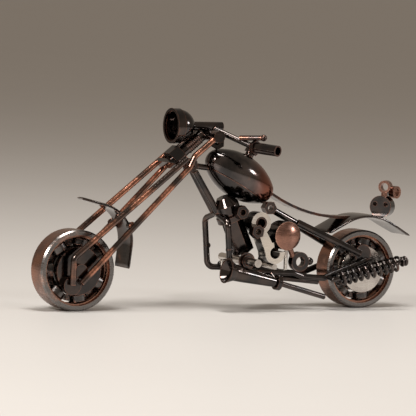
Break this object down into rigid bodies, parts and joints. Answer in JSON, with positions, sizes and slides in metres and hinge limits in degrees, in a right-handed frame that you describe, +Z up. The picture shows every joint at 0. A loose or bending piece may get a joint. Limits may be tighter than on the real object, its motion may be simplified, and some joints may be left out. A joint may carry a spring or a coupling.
{
  "type": "chopper motorcycle ornament",
  "caption": "Free-standing chopper motorcycle ornament welded from bearings, wire, nuts, washers, a spring and sheet, with rolling wheels and a turning fork.",
  "frame": {"origin": "where the rear wheel touches the ground, in the middle plane", "axes": "+X forward, +Y to the rider's left, +Z up"},
  "size_m": [0.1356, 0.0448, 0.0652],
  "materials": {
    "black_nickel": "dark nickel plating, glossy, with copper showing on rubbed edges",
    "tread_steel": "rolling surface of the bearing ring, copper brown",
    "worn_steel": "steel rubbed bright",
    "ball_steel": "hardened ball, mirror bright under dark plating",
    "cage_steel": "pressed ribbon, dark",
    "copper_wire": "round wire, copper on the upper side, dark below",
    "tank_finish": "glossy gunmetal shading to red brown",
    "red_copper": "red copper rubbed through dark plating",
    "rubbed_copper": "pale copper, softly polished",
    "polished_steel": "cream white polished face, dark sides"
  },
  "bodies": {
    "frame": {"head_nut": "black_nickel", "frame_nuts": "black_nickel", "down_tubes": "black_nickel", "cradle_hoop": "black_nickel", "bottom_rails": "black_nickel", "belly_rails": "black_nickel", "backbone_rods": "black_nickel", "seat_stays": "black_nickel", "rear_feet": "black_nickel", "tank_upper": "tank_finish", "tank_lower": "black_nickel", "tank_cap": "black_nickel", "seat_strap": "red_copper", "rear_guard": "black_nickel", "tail_drum": "black_nickel", "tail_rings": "rubbed_copper", "front_cylinder": "black_nickel", "cylinder_head": "black_nickel", "rear_cylinder": "black_nickel", "engine_struts": "worn_steel", "hook_plate": "polished_steel", "hook_tube": "black_nickel", "cap_drum": "black_nickel", "copper_cap": "rubbed_copper", "cap_knob": "rubbed_copper", "washer_stack": "black_nickel", "stack_ball": "black_nickel", "peg_bar": "worn_steel", "peg_washers": "black_nickel", "muffler": "black_nickel", "muffler_clamp": "black_nickel", "tail_pipe": "black_nickel", "spring": "black_nickel", "spring_rod": "black_nickel", "rear_inner_ring": "worn_steel", "rear_hub": "black_nickel", "rear_hub_washers": "worn_steel"},
    "fork": {"fork_upper_wires": "copper_wire", "fork_lower_wires": "copper_wire", "fork_feet": "black_nickel", "steering_stem": "black_nickel", "lower_yoke": "black_nickel", "handlebar_clamp": "black_nickel", "handlebars": "black_nickel", "grips": "black_nickel", "grip_collars": "black_nickel", "levers": "red_copper", "lamp_shell": "black_nickel", "lamp_bolt": "black_nickel", "front_guard": "black_nickel", "guard_lugs": "black_nickel", "front_inner_ring": "black_nickel", "front_hub": "black_nickel", "front_hub_washers": "black_nickel"},
    "front_wheel": {"front_outer_ring": "tread_steel"},
    "front_ball_set": {"front_balls": "ball_steel", "front_cage": "cage_steel"},
    "rear_wheel": {"rear_outer_ring": "tread_steel"},
    "rear_ball_set": {"rear_balls": "ball_steel", "rear_cage": "cage_steel"}
  },
  "joints": [
    {"name": "steering", "type": "hinge", "parent": "frame", "child": "fork", "pos_m": [0.06863, 0, 0.0499], "axis": [-0.776, 0, 0.6307], "range_deg": [-25, 25]},
    {"name": "front_wheel_spin", "type": "hinge", "parent": "fork", "child": "front_wheel", "pos_m": [0.105, 0, 0.013], "axis": [0, 1, 0], "continuous": true},
    {"name": "front_cage_spin", "type": "hinge", "parent": "fork", "child": "front_ball_set", "pos_m": [0.105, 0, 0.013], "axis": [0, 1, 0], "continuous": true},
    {"name": "rear_wheel_spin", "type": "hinge", "parent": "frame", "child": "rear_wheel", "pos_m": [0, 0, 0.013], "axis": [0, 1, 0], "continuous": true},
    {"name": "rear_cage_spin", "type": "hinge", "parent": "frame", "child": "rear_ball_set", "pos_m": [0, 0, 0.013], "axis": [0, 1, 0], "continuous": true}
  ],
  "couplings": [
    {"joint": "front_cage_spin", "follows": "front_wheel_spin", "ratio": 0.63071},
    {"joint": "rear_cage_spin", "follows": "rear_wheel_spin", "ratio": 0.63071}
  ]
}
